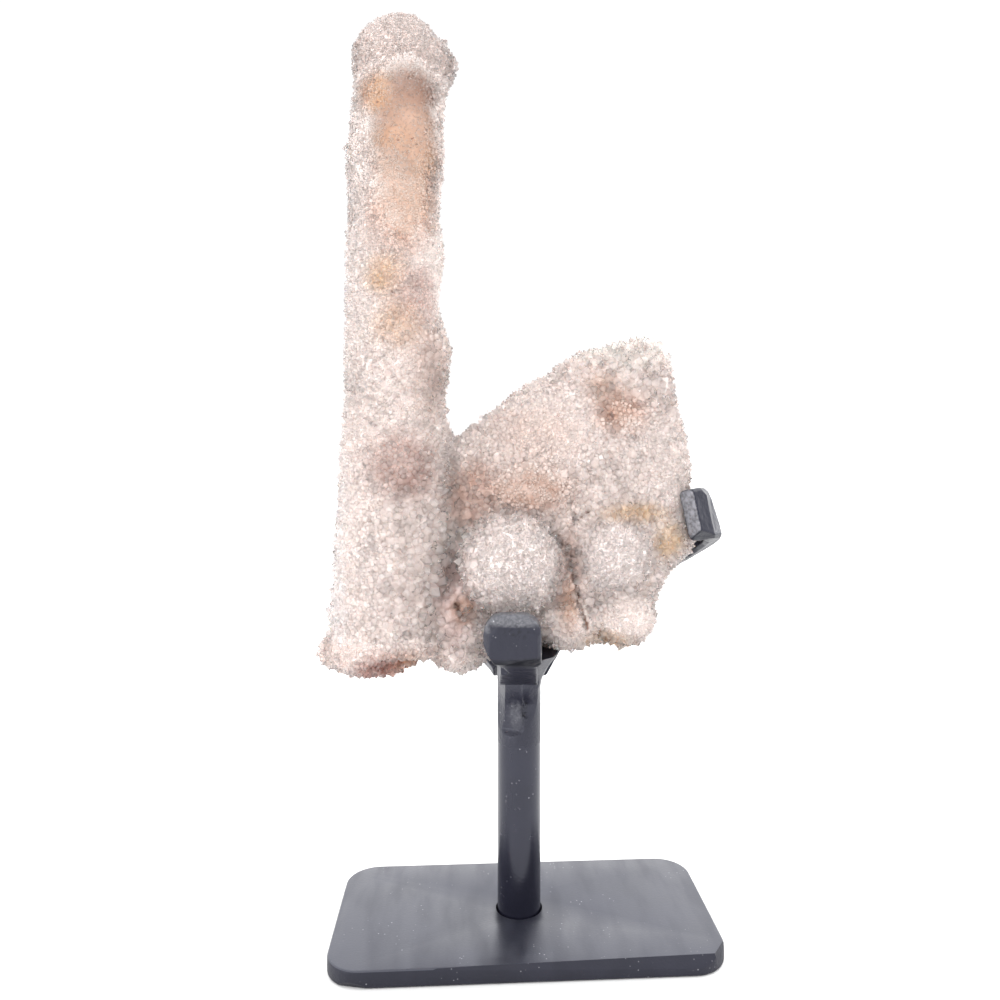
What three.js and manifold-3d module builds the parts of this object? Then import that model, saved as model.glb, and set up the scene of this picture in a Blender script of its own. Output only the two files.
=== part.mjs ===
// A drusy quartz stalagmite: one crystal-coated finger, its swollen foot and the lump of wall rock
// that it grew with, held upright by three claws on the post of a black iron stand.
//
// Millimetres, +Z up. The origin is the centre of the base plate's underside. X runs along the
// plate's long side and -Y is the front. Everything above the plate is placed from the point where
// the post's axis meets the plate's top face, so a height in the tables below is a height above
// that face.

import * as THREE from "three";
import { mergeVertices } from "three/addons/utils/BufferGeometryUtils.js";
import Module from "manifold-3d";

const wasm = await Module();
wasm.setup();

// Gap left between pieces that touch.
const GAP = 0.3;

// Base plate: flat bar with rounded corners and eased edges.
const PLATE_WIDTH = 111;
const PLATE_DEPTH = 57;
const PLATE_THICKNESS = 4.8;
const PLATE_CORNER = 10;
const PLATE_EASE = 0.7;

// Post: half-inch round bar, standing in a blind seat a little left of the plate's middle.
const POST_X = -1.3;
const POST_Y = 0.7;
const POST_RADIUS = 6.5;
const POST_TOP = 74.7;
const POST_SIDES = 32;
const SEAT_RADIUS = 7;
const SEAT_DEPTH = 3.4;

// Claws: flat bar, bent, with the tips ground round.
const BAR_WIDTH = 15.2;
const BAR_THICKNESS = 5.6;
const BAR_CHAMFER = 1;
const BAR_STEPS = 22;

// Front claw, in side view: distance in front of the post's axis, and height. The arm behind the
// tip is no wider than the post.
const FRONT_ARM_BACK = -7;
const FRONT_ARM_TOP = 82.2;
const FRONT_TIP_INNER = 29.4;
const FRONT_TIP_OUTER = 36;
const FRONT_TIP_BASE = 82;
const FRONT_TIP_TOP = 95.2;
const FRONT_TIP_CORNER = 5;
const FRONT_TURN = -0.1;
const FRONT_SHIFT = -0.4;
const FRONT_ARM_HALF = 6.2;
const GUSSET_BOTTOM = 69;

// Centre lines of the two bent claws, from the weld at the post to the tip.
const RIGHT_ROUTE = [
  [8.4, -3, 77],
  [10.4, 8, 80.5],
  [20, 18, 88],
  [34, 22, 97],
  [47, 18.5, 106],
  [54.6, 8.5, 113],
  [56.6, -3, 118],
  [54, -10, 119.6],
  [49.4, -13.2, 119.2],
];
const RIGHT_LEAN = [
  [0.5, 0, 1],
  [-0.4, 0, 1],
];
const BACK_ROUTE = [
  [-1, 10.2, 72],
  [-7, 18, 78],
  [-15, 26, 87],
  [-20, 28.4, 98],
  [-21.5, 27, 110],
];
const BACK_LEAN = [
  [1, 0.1, 0.2],
  [1, 0.1, 0.2],
];

// The finger: height, sideways place of its axis, radius over the crystals.
const FINGER_DEPTH = -2;
const FINGER_SIDES = 30;
const FINGER_STEPS = 36;
const FINGER = [
  [79, -38, 17.8],
  [92, -37.2, 18.8],
  [104, -36.3, 18.9],
  [118, -35.8, 18.6],
  [132, -36.2, 17.9],
  [144, -36.6, 16.4],
  [153, -37.2, 15.2],
  [166, -36.5, 16.1],
  [182, -38, 14.7],
  [196, -36.9, 15.2],
  [210, -37.4, 14.2],
  [222, -37, 15],
  [240, -36.4, 14.4],
  [246, -35.4, 14.2],
  [250, -34.3, 16],
  [254.6, -34.3, 16.2],
  [259, -35.5, 13.8],
  [263.4, -35.6, 10.4],
  [266.6, -35.6, 7.2],
  [268.2, -35.6, 3],
];

// The lump: its outline seen from the front, as sideways place and height round LUMP_CENTRE.
const LUMP_CENTRE = new THREE.Vector3(17, 0.5, 124);
const LUMP_HALF_DEPTH = 18;
const LUMP_DETAIL = 8;
const LUMP_OUTLINE = [
  [52, 124],
  [51.5, 140],
  [47.5, 154],
  [46.4, 165],
  [41.4, 174.6],
  [31, 170.6],
  [15, 166.6],
  [8.5, 161.6],
  [-4, 153.5],
  [-13, 146.5],
  [-22, 140],
  [-28, 122],
  [-27, 100],
  [-20, 82],
  [-9, 76],
  [8, 80],
  [24, 80.8],
  [37, 82.2],
  [41, 92],
  [45, 101],
  [54, 109.5],
];

// Rounded growths on the front, the back and the root: centre and radii.
const KNOBS = [
  { at: [-2.6, -13.4, 106.2], size: [15.8, 15.6, 15.8] },
  { at: [26, -13, 108.3], size: [12, 12, 12.4] },
  { at: [29.6, -12.2, 90.6], size: [9.8, 10, 9.4] },
  { at: [-18, -6, 89], size: [11.4, 13, 16] },
  { at: [-43, -4, 80.6], size: [14.5, 13, 9] },
  { at: [-54, -4, 79.4], size: [5.6, 7, 5] },
  { at: [14, -10, 89.6], size: [11, 12, 9] },
  { at: [8, 12, 112], size: [15, 12, 16] },
  { at: [32, 9, 134], size: [13, 11, 15] },
  { at: [-16, 12, 96], size: [15, 12, 14] },
];
const KNOB_DETAIL = 4;

const IRON = { color: 0x2b2b31, roughness: 0.42, metalness: 0.35 };
const QUARTZ = { color: 0xe4d2ca, roughness: 0.28, metalness: 0 };

// ---------------------------------------------------------------- solids

// The closed solid of a three.js geometry, placed by a matrix.
function solid(geometry, matrix = new THREE.Matrix4()) {
  const bare = geometry.clone().applyMatrix4(matrix);
  bare.deleteAttribute("normal");
  bare.deleteAttribute("uv");
  const merged = mergeVertices(bare, 1e-3);
  return new wasm.Manifold(
    new wasm.Mesh({
      numProp: 3,
      vertProperties: merged.attributes.position.array,
      triVerts: new Uint32Array(merged.index.array),
    }),
  );
}

// The mesh of a solid, with its own material.
function meshOf(name, body, look) {
  const { vertProperties, triVerts } = body.getMesh();
  const geometry = new THREE.BufferGeometry();
  geometry.setAttribute("position", new THREE.BufferAttribute(vertProperties, 3));
  geometry.setIndex(new THREE.BufferAttribute(triVerts, 1));
  geometry.computeVertexNormals();
  const mesh = new THREE.Mesh(geometry, new THREE.MeshStandardMaterial(look));
  mesh.name = name;
  return mesh;
}

// Moves every vertex of a geometry by a function of its place.
function reshape(geometry, place) {
  const spots = geometry.attributes.position;
  const spot = new THREE.Vector3();
  for (let i = 0; i < spots.count; i += 1) {
    place(spot.fromBufferAttribute(spots, i));
    spots.setXYZ(i, spot.x, spot.y, spot.z);
  }
  return geometry;
}

// Soft lumps of a natural surface, between about -1 and 1.
function swell(x, y, z) {
  const broad = Math.sin(0.31 * x + 1.3) * Math.sin(0.27 * y + 0.6) * Math.sin(0.24 * z + 2);
  const close = Math.sin(0.63 * x + 0.2) * Math.sin(0.71 * y + 1.9) * Math.sin(0.58 * z + 0.7);
  return 0.65 * broad + 0.35 * close;
}

// ---------------------------------------------------------------- stand

function roundedRectangle(width, depth, radius) {
  const shape = new THREE.Shape();
  const x = width / 2 - radius;
  const y = depth / 2 - radius;
  shape.absarc(x, y, radius, 0, Math.PI / 2);
  shape.absarc(-x, y, radius, Math.PI / 2, Math.PI);
  shape.absarc(-x, -y, radius, Math.PI, 1.5 * Math.PI);
  shape.absarc(x, -y, radius, 1.5 * Math.PI, 2 * Math.PI);
  return shape;
}

function upright(radius, low, high, sides) {
  const bar = new THREE.CylinderGeometry(radius, radius, high - low, sides);
  return bar.rotateX(Math.PI / 2).translate(0, 0, (low + high) / 2);
}

function basePlate() {
  const outline = roundedRectangle(
    PLATE_WIDTH - 2 * PLATE_EASE,
    PLATE_DEPTH - 2 * PLATE_EASE,
    PLATE_CORNER - PLATE_EASE,
  );
  const slab = new THREE.ExtrudeGeometry(outline, {
    depth: PLATE_THICKNESS - 2 * PLATE_EASE,
    bevelThickness: PLATE_EASE,
    bevelSize: PLATE_EASE,
    bevelSegments: 2,
    curveSegments: 8,
  }).translate(0, 0, PLATE_EASE);
  const seat = upright(SEAT_RADIUS, PLATE_THICKNESS - SEAT_DEPTH, PLATE_THICKNESS + 1, POST_SIDES);
  return solid(slab).subtract(solid(seat.translate(POST_X, POST_Y, 0)));
}

function post() {
  return solid(upright(POST_RADIUS, GAP - SEAT_DEPTH, POST_TOP, POST_SIDES));
}

// The flat arm on the post's top, its gusset and the upturned tip, grown all round by a margin.
function frontClaw(margin = 0) {
  const side = new THREE.Shape();
  side.moveTo(FRONT_ARM_BACK - margin, POST_TOP + GAP - margin);
  side.lineTo(POST_RADIUS + GAP, POST_TOP + GAP - margin);
  side.lineTo(POST_RADIUS + GAP, GUSSET_BOTTOM - margin);
  side.lineTo(11, GUSSET_BOTTOM + 1.4 - margin);
  side.lineTo(26, FRONT_TIP_BASE - 3 - margin);
  side.lineTo(FRONT_TIP_OUTER - 1.6 + margin, FRONT_TIP_BASE - margin);
  side.lineTo(FRONT_TIP_OUTER + margin, FRONT_TIP_BASE + 2);
  side.lineTo(FRONT_TIP_OUTER + margin, FRONT_TIP_TOP - 2 + margin);
  side.lineTo(FRONT_TIP_OUTER - 2 + margin, FRONT_TIP_TOP + margin);
  side.lineTo(FRONT_TIP_INNER + 1 - margin, FRONT_TIP_TOP + margin);
  side.lineTo(FRONT_TIP_INNER - margin, FRONT_TIP_TOP - 1.4 + margin);
  side.lineTo(FRONT_TIP_INNER - margin, FRONT_ARM_TOP + 3 + margin);
  side.lineTo(FRONT_TIP_INNER - 3 - margin, FRONT_ARM_TOP + margin);
  side.lineTo(FRONT_ARM_BACK - margin, FRONT_ARM_TOP + margin);
  side.closePath();
  const width = BAR_WIDTH + 2 * margin;
  const bar = new THREE.ExtrudeGeometry(side, { depth: width, bevelEnabled: false });
  bar.translate(0, 0, -width / 2);
  const sideways = new THREE.Matrix4().makeBasis(
    new THREE.Vector3(0, -1, 0),
    new THREE.Vector3(0, 0, 1),
    new THREE.Vector3(-1, 0, 0),
  );

  // The same bar from the front: a narrow arm, upright sides and a round-shouldered top.
  const half = width / 2;
  const arm = FRONT_ARM_HALF + margin;
  const shoulder = FRONT_TIP_TOP - FRONT_TIP_CORNER + margin;
  const face = new THREE.Shape();
  face.moveTo(-arm, GUSSET_BOTTOM - 2);
  face.lineTo(arm, GUSSET_BOTTOM - 2);
  face.lineTo(arm, FRONT_TIP_BASE - 1.6);
  face.lineTo(half, FRONT_TIP_BASE - margin);
  face.absarc(half - FRONT_TIP_CORNER, shoulder, FRONT_TIP_CORNER, 0, Math.PI / 2);
  face.absarc(FRONT_TIP_CORNER - half, shoulder, FRONT_TIP_CORNER, Math.PI / 2, Math.PI);
  face.lineTo(-half, FRONT_TIP_BASE - margin);
  face.lineTo(-arm, FRONT_TIP_BASE - 1.6);
  face.closePath();
  const reach = new THREE.ExtrudeGeometry(face, {
    depth: 2 * FRONT_TIP_OUTER,
    bevelEnabled: false,
    curveSegments: 5,
  });
  reach.translate(0, 0, -FRONT_TIP_OUTER).rotateX(Math.PI / 2);

  const turned = new THREE.Matrix4().makeRotationZ(FRONT_TURN);
  turned.setPosition(FRONT_SHIFT, 0, 0);
  const claw = solid(bar, turned.clone().multiply(sideways));
  return claw.intersect(solid(reach, turned));
}

// A flat bar bent along a route. Its width follows the lean, from the root's to the tip's, as
// nearly as the route lets it.
function bentBar(route, lean, margin = 0) {
  const x = BAR_THICKNESS / 2 + margin;
  const y = BAR_WIDTH / 2 + margin;
  const section = new THREE.Shape([
    new THREE.Vector2(x, BAR_CHAMFER - y),
    new THREE.Vector2(x, y - BAR_CHAMFER),
    new THREE.Vector2(x - BAR_CHAMFER, y),
    new THREE.Vector2(BAR_CHAMFER - x, y),
    new THREE.Vector2(-x, y - BAR_CHAMFER),
    new THREE.Vector2(-x, BAR_CHAMFER - y),
    new THREE.Vector2(BAR_CHAMFER - x, -y),
    new THREE.Vector2(x - BAR_CHAMFER, -y),
  ]);
  const straight = new THREE.ExtrudeGeometry(section, {
    depth: 1,
    steps: BAR_STEPS,
    bevelEnabled: false,
  });
  const line = new THREE.CatmullRomCurve3(route.map((p) => new THREE.Vector3(...p)));
  const [rootLean, tipLean] = lean.map((v) => new THREE.Vector3(...v));
  const bent = reshape(straight, (p) => {
    const along = line.getTangentAt(p.z);
    const up = rootLean.clone().lerp(tipLean, p.z);
    const wide = up.clone().addScaledVector(along, -up.dot(along)).normalize();
    const thick = new THREE.Vector3().crossVectors(wide, along);
    const centre = line.getPointAt(p.z).addScaledVector(along, margin * (2 * p.z - 1));
    p.copy(centre.addScaledVector(thick, p.x).addScaledVector(wide, p.y));
  });
  return solid(bent);
}

// A claw bent from one bar, its root cut to meet the front claw and the post.
function bentClaw(route, lean) {
  return bentBar(route, lean).subtract(frontClaw(GAP)).subtract(postRoom());
}

// The post grown by the gap that its neighbours keep.
function postRoom() {
  return solid(upright(POST_RADIUS + GAP, 0, POST_TOP + GAP, POST_SIDES));
}

// ---------------------------------------------------------------- stalagmite

// Radius and sideways place of the finger at a height, on a smooth curve through its table.
function finger() {
  const stations = new THREE.CatmullRomCurve3(FINGER.map((row) => new THREE.Vector3(...row)));
  const profile = [new THREE.Vector2(0, 0)];
  for (let step = 0; step <= FINGER_STEPS; step += 1) {
    profile.push(new THREE.Vector2(1, step / FINGER_STEPS));
  }
  profile.push(new THREE.Vector2(0, 1));
  const tube = new THREE.LatheGeometry(profile, FINGER_SIDES);
  return reshape(tube, (p) => {
    const { x: height, y: offset, z: radius } = stations.getPointAt(p.y);
    const angle = Math.atan2(p.z, p.x);
    const waves = swell(12 * Math.cos(angle), 12 * Math.sin(angle), height);
    const reach = Math.hypot(p.x, p.z) * (radius + 0.6 * waves);
    p.set(offset + reach * Math.cos(angle), FINGER_DEPTH - reach * Math.sin(angle), height);
  });
}

// How far the lump's outline lies from its centre in a direction of the front view.
function outlineReach(angle) {
  const rays = LUMP_OUTLINE.map(([x, z]) => {
    const across = x - LUMP_CENTRE.x;
    const above = z - LUMP_CENTRE.z;
    return { angle: Math.atan2(above, across), reach: Math.hypot(across, above) };
  }).sort((a, b) => a.angle - b.angle);
  const turn = 2 * Math.PI;
  const next = rays.findIndex((ray) => ray.angle > angle);
  const high = next < 0 ? 0 : next;
  const low = (high + rays.length - 1) % rays.length;
  const span = (rays[high].angle - rays[low].angle + turn) % turn;
  const share = ((angle - rays[low].angle + turn) % turn) / span;
  return rays[low].reach + share * (rays[high].reach - rays[low].reach);
}

function lump() {
  return reshape(new THREE.IcosahedronGeometry(1, LUMP_DETAIL), (p) => {
    const inPlane = Math.hypot(p.x, p.z);
    const angle = Math.atan2(p.z, p.x);
    const across = inPlane ** 0.72 * outlineReach(angle);
    const x = LUMP_CENTRE.x + across * Math.cos(angle);
    const z = LUMP_CENTRE.z + across * Math.sin(angle);
    const thin = 1 - 0.0062 * (z - LUMP_CENTRE.z) - 0.003 * Math.abs(x - LUMP_CENTRE.x);
    const deep = Math.sign(p.y) * Math.abs(p.y) ** 0.8 * LUMP_HALF_DEPTH * thin;
    const waves = 1.3 * swell(x, deep, z) * Math.abs(p.y);
    p.set(x, LUMP_CENTRE.y + deep + Math.sign(p.y) * waves, z);
  });
}

function knob({ at, size }) {
  const [x, y, z] = at;
  return reshape(new THREE.IcosahedronGeometry(1, KNOB_DETAIL), (p) => {
    const waves = 1 + 0.03 * swell(x + size[0] * p.x, y + size[1] * p.y, z + size[2] * p.z);
    p.set(x + size[0] * p.x * waves, y + size[1] * p.y * waves, z + size[2] * p.z * waves);
  });
}

function stalagmite() {
  const grown = KNOBS.reduce((body, row) => body.add(solid(knob(row))), solid(lump()));
  return solid(finger())
    .add(grown)
    .subtract(frontClaw(GAP))
    .subtract(bentBar(RIGHT_ROUTE, RIGHT_LEAN, GAP))
    .subtract(bentBar(BACK_ROUTE, BACK_LEAN, GAP))
    .subtract(postRoom());
}

// ---------------------------------------------------------------- object

const onPlate = new THREE.Group();
onPlate.position.set(POST_X, POST_Y, PLATE_THICKNESS);
onPlate.add(
  meshOf("post", post(), IRON),
  meshOf("front_claw", frontClaw(), IRON),
  meshOf("right_claw", bentClaw(RIGHT_ROUTE, RIGHT_LEAN), IRON),
  meshOf("back_claw", bentClaw(BACK_ROUTE, BACK_LEAN), IRON),
  meshOf("stalagmite", stalagmite(), QUARTZ),
);

const object = new THREE.Group();
object.add(meshOf("base_plate", basePlate(), IRON), onPlate);

export default object;
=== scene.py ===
"""A drusy quartz stalagmite held upright by three iron claws on a black stand.

Run as a script, it builds the whole scene: the stand's plate, post and claws, the stone with its
coat of crystals, the floor, the lights and the camera. Lengths in the tables are millimetres from
the point where the post's axis meets the plate's top face, with +X to the right, +Y to the back.
"""

import math

import bmesh
import bpy
import numpy as np
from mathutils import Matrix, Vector, kdtree, noise
from mathutils.bvhtree import BVHTree


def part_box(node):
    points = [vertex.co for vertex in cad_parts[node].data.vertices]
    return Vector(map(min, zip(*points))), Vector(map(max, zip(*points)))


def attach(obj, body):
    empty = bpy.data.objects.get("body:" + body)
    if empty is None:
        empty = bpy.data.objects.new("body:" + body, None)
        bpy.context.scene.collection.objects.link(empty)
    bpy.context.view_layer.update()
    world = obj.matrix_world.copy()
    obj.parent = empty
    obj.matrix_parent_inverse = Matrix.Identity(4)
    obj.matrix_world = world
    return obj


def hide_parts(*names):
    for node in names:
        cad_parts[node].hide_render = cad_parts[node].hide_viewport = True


bl_info = {
    "name": "Drusy Stalagmite on a Stand",
    "version": (1, 0, 0),
    "blender": (4, 5, 0),
    "location": "View3D > Sidebar > Stalagmite",
    "description": "Builds a crystal-coated stalagmite on its black iron stand",
    "category": "Object",
}

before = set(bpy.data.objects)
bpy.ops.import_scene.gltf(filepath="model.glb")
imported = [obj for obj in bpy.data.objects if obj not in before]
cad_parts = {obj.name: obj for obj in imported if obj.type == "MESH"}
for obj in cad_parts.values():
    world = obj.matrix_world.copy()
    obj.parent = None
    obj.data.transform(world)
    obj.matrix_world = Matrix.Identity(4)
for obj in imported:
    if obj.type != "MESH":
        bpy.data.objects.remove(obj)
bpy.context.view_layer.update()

MM = 0.001
BODY = "root"
IRON_SLOT = "black_iron"
STONE_SLOT = "drusy_quartz"
CLAWS = ("front_claw", "right_claw", "back_claw")

PLATE_LOW, PLATE_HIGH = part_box("base_plate")
POST_LOW, POST_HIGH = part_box("post")
ORIGIN = Vector(((POST_LOW.x + POST_HIGH.x) / 2, (POST_LOW.y + POST_HIGH.y) / 2, PLATE_HIGH.z))


# ---------------------------------------------------------------- helpers


def place(x, y, z):
    """A point of the scene, from millimetres off the post's foot."""
    return ORIGIN + Vector((x, y, z)) * MM


def from_foot(points):
    """Points of the scene as millimetres off the post's foot."""
    return (points - np.array(ORIGIN)) / MM


def linear(red, green, blue):
    """A linear colour from its display values, 0 to 255."""
    shares = [value / 255 for value in (red, green, blue)]
    return tuple(s / 12.92 if s <= 0.04045 else ((s + 0.055) / 1.055) ** 2.4 for s in shares)


def shade(red, green, blue):
    """A linear colour for reckoning with, from its display values."""
    return np.array(linear(red, green, blue))


def select_only(piece):
    if bpy.context.mode != "OBJECT":
        bpy.ops.object.mode_set(mode="OBJECT")
    bpy.ops.object.select_all(action="DESELECT")
    piece.select_set(True)
    bpy.context.view_layer.objects.active = piece


def name_piece(name):
    """The primitive that was just added, named, with its place in its mesh."""
    piece = bpy.context.object
    piece.name = name
    piece.data.name = name
    select_only(piece)
    bpy.ops.object.transform_apply(location=True, rotation=True, scale=True)
    return piece


def add_box(name, low, high):
    """A box between two corners, in millimetres off the post's foot."""
    bpy.ops.object.select_all(action="DESELECT")
    a = place(*low)
    b = place(*high)
    bpy.ops.mesh.primitive_cube_add(size=1, location=(a + b) / 2, scale=b - a)
    return name_piece(name)


def add_rod(name, centre, radius, low, high, sides=96):
    """An upright cylinder round a place beside the post's axis."""
    bpy.ops.object.select_all(action="DESELECT")
    middle = place(centre[0], centre[1], (low + high) / 2)
    bpy.ops.mesh.primitive_cylinder_add(
        vertices=sides, radius=radius * MM, depth=(high - low) * MM, location=middle
    )
    return name_piece(name)


def copy_node(node, name):
    """A merged copy of a CAD node's mesh, as a piece of its own."""
    piece = bpy.data.objects.new(name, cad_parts[node].data.copy())
    piece.data.name = name
    bpy.context.scene.collection.objects.link(piece)
    piece.data.materials.clear()
    select_only(piece)
    bpy.ops.object.mode_set(mode="EDIT")
    bpy.ops.mesh.select_all(action="SELECT")
    bpy.ops.mesh.remove_doubles(threshold=0.01 * MM)
    to_object_mode()
    return piece


def select_where(piece, kind, test):
    """Edit mode, with the faces or edges selected whose centre and direction pass a test."""
    select_only(piece)
    bpy.ops.object.mode_set(mode="EDIT")
    bpy.ops.mesh.select_mode(type=kind)
    bpy.ops.mesh.select_all(action="DESELECT")
    mesh = bmesh.from_edit_mesh(piece.data)
    if kind == "FACE":
        for face in mesh.faces:
            face.select_set(test(from_foot(np.array(face.calc_center_median())), face.normal))
    else:
        for edge in mesh.edges:
            first, last = (corner.co for corner in edge.verts)
            middle = from_foot(np.array((first + last) / 2))
            edge.select_set(test(middle, (last - first).normalized()))
    mesh.select_flush_mode()
    bmesh.update_edit_mesh(piece.data)


def to_object_mode():
    bpy.ops.object.mode_set(mode="OBJECT")


def apply_modifier(piece, kind, **settings):
    select_only(piece)
    modifier = piece.modifiers.new(kind.title(), kind)
    for key, value in settings.items():
        setattr(modifier, key, value)
    bpy.ops.object.modifier_apply(modifier=modifier.name)


def cut(piece, tool):
    """Takes one mesh away from another."""
    apply_modifier(piece, "BOOLEAN", operation="DIFFERENCE", object=tool, solver="EXACT")
    bpy.data.objects.remove(tool)


def grind(piece, point, direction, size):
    """Takes off what lies past a plane, over a square of so many millimetres round a point."""
    facing = Vector(direction).normalized()
    turn = facing.to_track_quat("Z", "Y").to_euler()
    middle = place(*point) + facing * (size / 2 * MM)
    bpy.ops.object.select_all(action="DESELECT")
    bpy.ops.mesh.primitive_cube_add(size=size * MM, location=middle, rotation=turn)
    cut(piece, name_piece("grinder"))


def remesh(piece, voxel, smooth_steps):
    """Even small faces all over, with the corners slightly rounded."""
    apply_modifier(piece, "REMESH", mode="VOXEL", voxel_size=voxel * MM)
    if smooth_steps:
        apply_modifier(piece, "SMOOTH", factor=0.5, iterations=smooth_steps)


def vertex_places(piece):
    flat = np.empty(len(piece.data.vertices) * 3)
    piece.data.vertices.foreach_get("co", flat)
    return flat.reshape(-1, 3)


def vertex_normals(piece):
    flat = np.empty(len(piece.data.vertices) * 3)
    piece.data.vertex_normals.foreach_get("vector", flat)
    return flat.reshape(-1, 3)


def move_vertices(piece, places):
    piece.data.vertices.foreach_set("co", places.ravel())
    piece.data.update()


def ramp(low, high, values):
    """0 up to low, 1 from high on and smooth between, or the other way round if low is higher."""
    share = np.clip((values - low) / (high - low), 0, 1)
    return share * share * (3 - 2 * share)


def mix(first, second, share):
    """The first value moved toward the second by a share."""
    return first + (second - first) * share


def clouds(spots, size, seed):
    """Soft random values, about -1 to 1, whose patches are roughly a size across."""
    shift = Vector((seed, 0.7 * seed, -1.3 * seed))
    values = [noise.fractal(Vector(spot) / size + shift, 0.9, 2.1, 3) for spot in spots]
    return np.array(values)


def finish_piece(piece, material, slot, *nodes):
    """Gives a piece its material and body, and lets it stand for its CAD nodes; the slot is not used.
    """
    piece.data.materials.clear()
    piece.data.materials.append(material)
    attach(piece, BODY)
    if nodes:
        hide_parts(*nodes)
    return piece


def store_values(piece, name, values):
    """One number for each vertex, for the materials to read."""
    layer = piece.data.attributes.new(name, "FLOAT", "POINT")
    layer.data.foreach_set("value", values.astype(np.float32))


def store_marks(piece, wear=0.0, shade_and_flecks=0.0):
    """Where a piece of iron is worn bare, and where its paint is darkened by painted shade and dark
    flecks, for its paint to read.
    """
    count = len(piece.data.vertices)
    store_values(piece, "wear", np.broadcast_to(wear, count))
    store_values(piece, "shade_and_flecks", np.broadcast_to(shade_and_flecks, count))


def store_colours(piece, name, colours):
    """One colour for each vertex, for the materials to read."""
    layer = piece.data.attributes.new(name, "FLOAT_COLOR", "POINT")
    whole = np.ones((len(colours), 4), np.float32)
    whole[:, :3] = colours
    layer.data.foreach_set("color", whole.ravel())


# ---------------------------------------------------------------- materials


class Nodes:
    """Short calls for building nodes that read one kind of coordinates."""

    def __init__(self, tree, coordinates):
        self.tree = tree
        self.coords = self.add("ShaderNodeTexCoord").outputs[coordinates]

    def add(self, kind, **settings):
        node = self.tree.nodes.new(kind)
        for key, value in settings.items():
            setattr(node, key, value)
        return node

    def link(self, source, target):
        self.tree.links.new(source, target)

    def noise(self, scale, detail=3.0, stretch=None):
        """Noise of so many patches to the metre, stretched along the axes if asked."""
        node = self.add("ShaderNodeTexNoise")
        node.inputs["Scale"].default_value = scale
        node.inputs["Detail"].default_value = detail
        source = self.coords
        if stretch is not None:
            mapping = self.add("ShaderNodeMapping")
            mapping.inputs["Scale"].default_value = stretch
            self.link(self.coords, mapping.inputs["Vector"])
            source = mapping.outputs["Vector"]
        self.link(source, node.inputs["Vector"])
        return node.outputs["Fac"]

    def specks(self, scale):
        """Distance from the nearest of so many random points to the metre."""
        node = self.add("ShaderNodeTexVoronoi")
        node.inputs["Scale"].default_value = scale
        self.link(self.coords, node.inputs["Vector"])
        return node.outputs["Distance"]

    def span(self, value, low, high, out_low=0.0, out_high=1.0):
        node = self.add("ShaderNodeMapRange", interpolation_type="SMOOTHSTEP")
        self.link(value, node.inputs["Value"])
        node.inputs["From Min"].default_value = low
        node.inputs["From Max"].default_value = high
        node.inputs["To Min"].default_value = out_low
        node.inputs["To Max"].default_value = out_high
        return node.outputs["Result"]

    def math(self, operation, first, second):
        node = self.add("ShaderNodeMath", operation=operation)
        for socket, value in zip(node.inputs, (first, second)):
            if isinstance(value, (int, float)):
                socket.default_value = value
            else:
                self.link(value, socket)
        return node.outputs["Value"]

    def blend(self, share, first, second, blend_type="MIX"):
        """A colour between two, each a socket or a linear colour."""
        node = self.add("ShaderNodeMix", data_type="RGBA", blend_type=blend_type)
        if isinstance(share, (int, float)):
            node.inputs["Factor"].default_value = share
        else:
            self.link(share, node.inputs["Factor"])
        for socket, value in zip((node.inputs[6], node.inputs[7]), (first, second)):
            if isinstance(value, tuple):
                socket.default_value = (*value, 1)
            else:
                self.link(value, socket)
        return node.outputs[2]

    def attribute(self, name, output="Fac"):
        return self.add("ShaderNodeAttribute", attribute_name=name).outputs[output]


class Finish(Nodes):
    """The nodes of one material, whose patterns lie in the object's own coordinates."""

    def __init__(self, name):
        self.material = bpy.data.materials.new(name)
        self.material.use_nodes = True
        super().__init__(self.material.node_tree, "Object")
        self.shader = self.tree.nodes["Principled BSDF"]

    def set(self, **values):
        """Plain values on the shader's own sockets."""
        for key, value in values.items():
            socket = self.shader.inputs[key.replace("_", " ").title().replace("Ior", "IOR")]
            socket.default_value = value

    def bump(self, height, strength, distance):
        node = self.add("ShaderNodeBump")
        node.inputs["Strength"].default_value = strength
        node.inputs["Distance"].default_value = distance
        self.link(height, node.inputs["Height"])
        self.link(node.outputs["Normal"], self.shader.inputs["Normal"])


DUST_COLOUR = linear(150, 150, 156)
# Near black for the painted shade and the dark flecks on the iron.
SHADE_AND_FLECK_COLOUR = linear(8, 8, 10)
WORN_COLOURS = linear(80, 80, 84), linear(104, 104, 108)
BARE_COLOUR = linear(140, 140, 146)
# Light grey of the painted glints over the worn places.
GLINT_COLOUR = linear(190, 190, 196)
COOL_SHEEN = (0.84, 0.86, 1.0, 1.0)


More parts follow.
